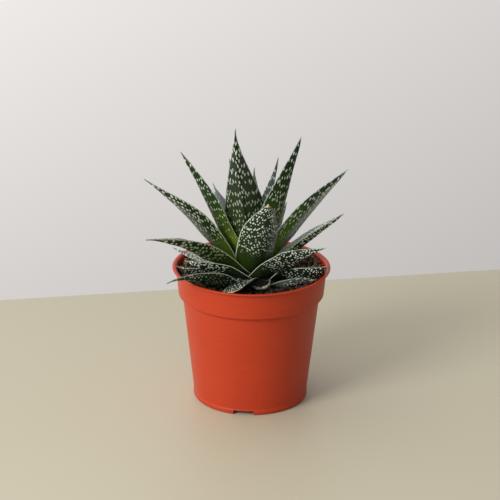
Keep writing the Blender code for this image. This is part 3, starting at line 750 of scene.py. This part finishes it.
def make_leaf(name, spec, finish, seed):
    """A leaf as one closed grid: rings round the section from the stem to the tip, capped at both ends."""
    rng = np.random.default_rng(seed)
    start = rooted_start(spec)
    rough, _ = midrib(spec, np.linspace(0, 1, 40), start)
    length = np.linalg.norm(np.diff(rough, axis=0), axis=1).sum()
    rows = int(length / CELL_ALONG) + 2
    columns = max(16, int(spec.width * 1.25 / CELL_ACROSS))
    across = np.concatenate([spread(columns), -spread(columns)])
    on_face = np.arange(across.size) < columns
    grid, direction, looks = leaf_grid(spec, np.linspace(0, 1, rows), across, on_face, start, rng)
    ring = across.size
    index, after, walls = ring_walls(rows, ring)
    tip = grid[-1].mean(0) + direction[-1] * AWN_LENGTH
    base = grid[0].mean(0)
    points = np.vstack([grid.reshape(-1, 3), tip, base])
    tip_fan = np.stack([np.full(ring, rows * ring), index[-1], after[-1]], -1)
    base_fan = np.stack([np.full(ring, rows * ring + 1), after[0], index[0]], -1)
    ends = {"spot": (-1.0, -1.0), "along": (1.0, 0.0), "edge": (0.0, 5.0)}
    looks = {key: np.append(values, ends.get(key, (0.0, 0.0))) for key, values in looks.items()}
    for key in ("grey", "pale", "lush", "dry"):
        looks[key] = np.full(len(points), getattr(spec, key))
    made = add_surface(name, points, [walls, tip_fan, base_fan], finish, looks)
    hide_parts(name.removesuffix("_skin"))
    return made


def rounded(corners, steps=6):
    """Profile points with each corner cut back by its rounding and bridged by a quadratic curve."""
    corners = np.array(corners, float)
    points = corners[:, :2]
    before, after = points[:-2] - points[1:-1], points[2:] - points[1:-1]
    reach = [np.linalg.norm(side, axis=1) for side in (before, after)]
    cut = np.minimum(corners[1:-1, 2], 0.45 * np.minimum(*reach))
    first = points[1:-1] + before * (cut / reach[0])[:, None]
    last = points[1:-1] + after * (cut / reach[1])[:, None]
    t = np.linspace(0, 1, steps)[None, :, None]
    bend = (1 - t) ** 2 * first[:, None] + 2 * t * (1 - t) * points[1:-1, None] + t**2 * last[:, None]
    return np.vstack([points[:1], bend.reshape(-1, 2), points[-1:]])


def turned(profile, segments):
    """Points and faces of a profile carried round the Z axis, closed by a fan on the axis at both ends."""
    angle = 2 * np.pi * np.arange(segments) / segments
    around = np.stack([np.cos(angle), np.sin(angle)], -1)
    level = np.broadcast_to(profile[:, None, 1:], (len(profile), segments, 1))
    grid = np.concatenate([profile[:, None, :1] * around[None], level], -1)
    index, after, walls = ring_walls(len(profile), segments)
    below = np.stack([after[0], index[0], np.full(segments, index.size)], -1)
    above = np.stack([index[-1], after[-1], np.full(segments, index.size + 1)], -1)
    ends = np.array([[0.0, 0.0, profile[0, 1]], [0.0, 0.0, profile[-1, 1]]])
    return np.vstack([grid.reshape(-1, 3), ends]), [walls, below, above]


def pot_cutters():
    """The three notches of the foot and the six drain holes, as boxes and drums in one mesh."""
    work = bmesh.new()
    for azimuth in NOTCH_AZIMUTHS:
        middle = heading(azimuth) * NOTCH_REACH
        place = Matrix.Translation(middle * MM) @ Matrix.Rotation(math.radians(azimuth), 4, "Z")
        size = [NOTCH_SIZE[0] * MM, NOTCH_SIZE[1] * MM, 2 * NOTCH_SIZE[2] * MM]
        bmesh.ops.create_cube(work, size=1.0, matrix=place @ Matrix.Diagonal((*size, 1.0)))
    for number in range(DRAIN_COUNT):
        middle = heading(FIRST_DRAIN + 360.0 / DRAIN_COUNT * number) * DRAIN_REACH
        place = Matrix.Translation((middle + np.array([0, 0, 3.6])) * MM)
        bmesh.ops.create_cone(
            work, cap_ends=True, segments=40, radius1=DRAIN_RADIUS * MM, radius2=DRAIN_RADIUS * MM,
            depth=4.0 * MM, matrix=place,
        )
    mesh = bpy.data.meshes.new("pot_cutters")
    work.to_mesh(mesh)
    work.free()
    made = bpy.data.objects.new("pot_cutters", mesh)
    bpy.context.scene.collection.objects.link(made)
    return made


def make_pot(finish):
    """The moulded wall as a turned profile, with its notches and drain holes cut out of it."""
    points, faces = turned(rounded(POT_PROFILE), POT_SEGMENTS)
    made = add_surface("pot_skin", points, faces, finish)
    tool = pot_cutters()
    cut = made.modifiers.new("holes", "BOOLEAN")
    cut.object = tool
    cut.operation = "DIFFERENCE"
    bpy.context.view_layer.update()
    depsgraph = bpy.context.evaluated_depsgraph_get()
    mesh = bpy.data.meshes.new_from_object(made.evaluated_get(depsgraph))
    made.modifiers.remove(cut)
    whole = made.data
    made.data = mesh
    bpy.data.meshes.remove(whole)
    bpy.data.objects.remove(tool)
    mesh.shade_smooth()
    mesh.set_sharp_from_angle(angle=math.radians(38))
    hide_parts("pot")


def soil_height(radius, angle):
    """Height of the peat: level round the stem, rising to the wall but less in front, with slow lumps."""
    slope = np.clip((radius - LEVEL_RINGS) / (SOIL_EDGE - LEVEL_RINGS), 0, 1)
    lumps = np.sin(7 * angle + 0.21 * radius) + np.sin(11 * angle - 0.47 * radius + 1.3)
    rise = SOIL_RISE * (1 - 0.4 * np.clip(-np.sin(angle), 0, 1))
    return SOIL_LEVEL + rise * slope**2 + 0.3 * lumps * np.clip(4 * slope, 0, 1)


def ball(subdivisions):
    """Vertices and triangles of a unit icosphere."""
    work = bmesh.new()
    bmesh.ops.create_icosphere(work, subdivisions=subdivisions, radius=1.0)
    points = np.array([vertex.co for vertex in work.verts])
    faces = np.array([[vertex.index for vertex in face.verts] for face in work.faces])
    work.free()
    return points, faces


def turns(count, rng):
    """Random rotation matrices from unit quaternions."""
    q = rng.normal(size=(count, 4))
    q /= np.linalg.norm(q, axis=1)[:, None]
    w, x, y, z = q.T
    rows = [
        [1 - 2 * (y * y + z * z), 2 * (x * y - z * w), 2 * (x * z + y * w)],
        [2 * (x * y + z * w), 1 - 2 * (x * x + z * z), 2 * (y * z - x * w)],
        [2 * (x * z - y * w), 2 * (y * z + x * w), 1 - 2 * (x * x + y * y)],
    ]
    return np.moveaxis(np.array(rows), -1, 0)


def crumbs(name, count, low, high, stand, subdivisions, finish, rng):
    """Lumps of peat: stretched balls with a rough skin, turned at random and half sunk in the soil.

    Each point of the unit ball is moved in or out by a random share, stretched along three axes, turned,
    and set at a random place between the stem and the wall. Sizes lie between low and high, most near low,
    and stand is how far a lump may rise out of the soil, as a share of its size.
    """
    unit, faces = ball(subdivisions)
    size = low + (high - low) * rng.random(count) ** 2.2
    radius = np.sqrt(rng.uniform(CRUMBS_FROM**2, (SOIL_EDGE - 0.3 - size) ** 2))
    angle = rng.uniform(0, 2 * np.pi, count)
    height = soil_height(radius, angle) + stand * size * rng.uniform(-0.6, 1.0, count)
    rough = 1 + 0.28 * rng.normal(size=(count, len(unit), 1)).clip(-1.6, 1.6)
    shape = size[:, None] * rng.uniform([0.75, 0.55, 0.4], [1.25, 1.0, 0.8], (count, 3))
    points = np.einsum("nij,nvj->nvi", turns(count, rng), unit[None] * rough * shape[:, None])
    centre = np.stack([radius * np.cos(angle), radius * np.sin(angle), height], -1)
    points += centre[:, None]
    faces = faces[None] + (np.arange(count) * len(unit))[:, None, None]
    return add_surface(name, points.reshape(-1, 3), [faces.reshape(-1, 3)], finish)


def fibres(name, count, finish, rng):
    """Root and coir fibres: thin tubes along shallow arcs that lie on the peat.

    A fibre's line bows to the side by a parabola and rises over the peat by a low hump; five points go round
    each station, and the tube thins towards both ends.
    """
    stations, sides = 9, 5
    t = np.linspace(-0.5, 0.5, stations)
    length = rng.uniform(*FIBRE_LENGTHS, count)
    radius = np.sqrt(rng.uniform(*np.square(FIBRE_REACHES), count))
    angle = rng.uniform(0, 2 * np.pi, count)
    bow = rng.uniform(-0.5, 0.5, count)
    way = rng.uniform(0, np.pi, count)
    thick = rng.uniform(*FIBRE_RADII, count)
    run = np.stack([np.cos(way), np.sin(way)], -1)
    aside = np.stack([-run[:, 1], run[:, 0]], -1)
    flat = (
        np.stack([radius * np.cos(angle), radius * np.sin(angle)], -1)[:, None]
        + (length[:, None] * t)[..., None] * run[:, None]
        + (length[:, None] * bow[:, None] * (t**2)[None])[..., None] * aside[:, None]
    )
    reach = np.hypot(flat[..., 0], flat[..., 1])
    flat *= np.minimum(1, (SOIL_EDGE - 1) / reach)[..., None]
    over = soil_height(np.hypot(flat[..., 0], flat[..., 1]), np.arctan2(flat[..., 1], flat[..., 0]))
    over = over + 0.7 + rng.uniform(0.2, 1.4, count)[:, None] * (0.25 - t**2)[None] * 4
    line = np.concatenate([flat, over[..., None]], -1)
    turn = 2 * np.pi * np.arange(sides) / sides
    width = thick[:, None] * (1 - 0.7 * np.abs(2 * t) ** 3)[None]
    out = np.concatenate([aside, np.zeros((count, 1))], -1)[:, None, None] * np.cos(turn)[:, None]
    out = out + np.array([0, 0, 1.0]) * np.sin(turn)[:, None]
    points = line[:, :, None] + width[..., None, None] * out
    index = np.arange(count * stations * sides).reshape(count, stations, sides)
    after = np.roll(index, -1, axis=2)
    walls = np.stack([index[:, :-1], index[:, 1:], after[:, 1:], after[:, :-1]], -1).reshape(-1, 4)
    caps = np.concatenate([index[:, 0], index[:, -1, ::-1]])
    return add_surface(name, points.reshape(-1, 3), [walls, caps], finish)


# Stage


def add_light(name, place, aim, size, power, colour):
    """A rectangular area light at place that points at aim."""
    data = bpy.data.lights.new(name, "AREA")
    data.shape = "RECTANGLE"
    data.size, data.size_y = size
    data.energy = power
    data.color = colour
    made = bpy.data.objects.new(name, data)
    bpy.context.scene.collection.objects.link(made)
    made.matrix_world = look(np.array(place), np.array(aim) - np.array(place))


def look(place, forward, roll=0.0):
    """Matrix of an object at place whose -Z axis points forward and whose Y axis is up, then rolled."""
    forward = forward / np.linalg.norm(forward)
    right = np.cross(forward, [0.0, 0.0, 1.0])
    right /= np.linalg.norm(right)
    up = np.cross(right, forward)
    right, up = right * math.cos(roll) + up * math.sin(roll), up * math.cos(roll) - right * math.sin(roll)
    made = Matrix.Identity(4)
    for column, axis in enumerate((right, up, -forward, place)):
        for line in range(3):
            made[line][column] = float(axis[line])
    return made


def make_table():
    """Plain pale table top, one flat face."""
    mesh = bpy.data.meshes.new("table_top")
    mesh.from_pydata((np.array(TABLE_CORNERS, float) * MM).tolist(), [], [(0, 1, 2, 3)])
    sand, pale_sand = (0.485, 0.46, 0.345), (0.50, 0.472, 0.358)
    mesh.materials.append(plain_finish("pale_table", sand, pale_sand, 2.0, 0.5, 0.0))
    floor = bpy.data.objects.new("table_top", mesh)
    bpy.context.scene.collection.objects.link(floor)


def light_room():
    """Light of the bright room: its level times a ramp of tones along each axis of the direction."""
    world = bpy.data.worlds.new("room")
    bpy.context.scene.world = world
    world.use_nodes = True
    nodes, links = world.node_tree.nodes, world.node_tree.links
    background = nodes["Background"]
    coordinate = nodes.new("ShaderNodeTexCoord")
    split = nodes.new("ShaderNodeSeparateXYZ")
    links.new(coordinate.outputs["Generated"], split.inputs[0])
    level = ROOM_LIGHT
    for axis, low, high, dim, bright in ROOM_RAMPS:
        tone = nodes.new("ShaderNodeMapRange")
        links.new(split.outputs[axis], tone.inputs["Value"])
        for socket, value in (("From Min", low), ("From Max", high), ("To Min", dim), ("To Max", bright)):
            tone.inputs[socket].default_value = value
        product = nodes.new("ShaderNodeMath")
        product.operation = "MULTIPLY"
        links.new(tone.outputs[0], product.inputs[0])
        if isinstance(level, float):
            product.inputs[1].default_value = level
        else:
            links.new(level, product.inputs[1])
        level = product.outputs[0]
    links.new(level, background.inputs["Strength"])
    background.inputs["Color"].default_value = ROOM_TINT


def set_camera():
    """Camera at the photo's viewing angle."""
    camera = bpy.data.cameras.new("camera")
    camera.sensor_width = SENSOR_WIDTH
    camera.lens = SENSOR_WIDTH * FOCAL_PIXELS / PICTURE_PIXELS
    camera.clip_end = 50.0
    made = bpy.data.objects.new("camera", camera)
    bpy.context.scene.collection.objects.link(made)
    pitch = math.radians(CAMERA_PITCH)
    forward = np.array([0.0, math.cos(pitch), -math.sin(pitch)])
    made.matrix_world = look(np.array(CAMERA_PLACE), forward, CAMERA_ROLL)
    bpy.context.scene.camera = made


def make_stage():
    """Pale table top, the room's light, a soft key light from the upper left, and the camera."""
    make_table()
    light_room()
    add_light("key", KEY_PLACE, KEY_AIM, KEY_SIZE, KEY_POWER, KEY_TINT)
    bpy.context.scene.view_settings.view_transform = "Standard"
    set_camera()


# The whole plant


def set_material(name, finish):
    """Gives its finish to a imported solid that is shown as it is."""
    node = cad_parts[name]
    node.data.materials.clear()
    node.data.materials.append(finish)


def dress_soil():
    """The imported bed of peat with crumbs, grit and fibres on it."""
    peat = soil_finish("peat_crumbs", (0.014, 0.010, 0.007), (0.19, 0.135, 0.088), (0.46, 0.37, 0.27))
    bed = soil_finish("peat_bed", (0.005, 0.003, 0.002), (0.022, 0.013, 0.008), (0.06, 0.035, 0.02))
    set_material("soil", bed)
    straw = plain_finish("straw_fibre", (0.16, 0.08, 0.04), (0.36, 0.24, 0.13), 300.0, 0.8, 0.0002)
    rng = np.random.default_rng(SOIL_SEED)
    crumbs("soil_lumps", LUMPS, 1.1, 3.1, 0.45, 2, peat, rng)
    crumbs("soil_grit", GRIT, 0.45, 1.1, 0.9, 1, peat, rng)
    fibres("soil_fibres", FIBRES, straw, rng)


def dress_leaves():
    """All leaves, each with the finish that its row names."""
    # Lit and shaded copies of one leaf skin: bright bases with a painted glow for the inner and cool leaves,
    # painted shade on the bases of the outer leaves, and more of it on the low ones
    bright, shaded = (BRIGHT_GREENS, BRIGHT_GREYS), (SHADED_GREENS, SHADED_GREYS)
    deep_shade = (DEEP_SHADE_GREENS, SHADED_GREYS)
    # Grey coat colours that also hold a painted sheen; the bluish one is a painted reflection of the bright
    # room
    wax_and_sheen_colour, blue_wax_and_sheen = (0.225, 0.245, 0.232), (0.44, 0.47, 0.51)
    green_mark, dim_mark, white_mark = (0.27, 0.35, 0.20), (0.14, 0.18, 0.10), (0.80, 0.91, 0.80)
    lime, ash = (0.20, 0.30, 0.06), (0.26, 0.30, 0.24)
    # The last colour of each finish is its pale margin line, which also holds a painted highlight, bluish on
    # the cool leaves
    finishes = {
        "inner": leaf_finish("leaf_inner", *bright, wax_and_sheen_colour, lime, green_mark, white_mark, (0.38, 0.48, 0.30)),
        "cool": leaf_finish("leaf_cool", *bright, blue_wax_and_sheen, lime, green_mark, white_mark, (0.46, 0.60, 0.70)),
        "outer": leaf_finish("leaf_outer", *shaded, wax_and_sheen_colour, lime, green_mark, white_mark, (0.48, 0.56, 0.42)),
        "low": leaf_finish("leaf_low_shaded", *deep_shade, wax_and_sheen_colour, ash, dim_mark, white_mark, (0.56, 0.64, 0.54)),
        "dried": dried_finish(),
    }
    for number, (name, spec) in enumerate(LEAVES.items()):
        make_leaf(name + "_skin", spec, finishes[spec.finish], LEAF_SEED + number)


def main():
    make_stage()
    make_pot(pot_finish())
    # Painted shade: the stem's skin is near black, as the crown lies in shade under the leaf bases
    stem = plain_finish("stem_skin", (0.004, 0.005, 0.002), (0.010, 0.012, 0.005), 200.0, 0.7, 0.0004)
    set_material("stem", stem)
    dress_leaves()
    dress_soil()


main()
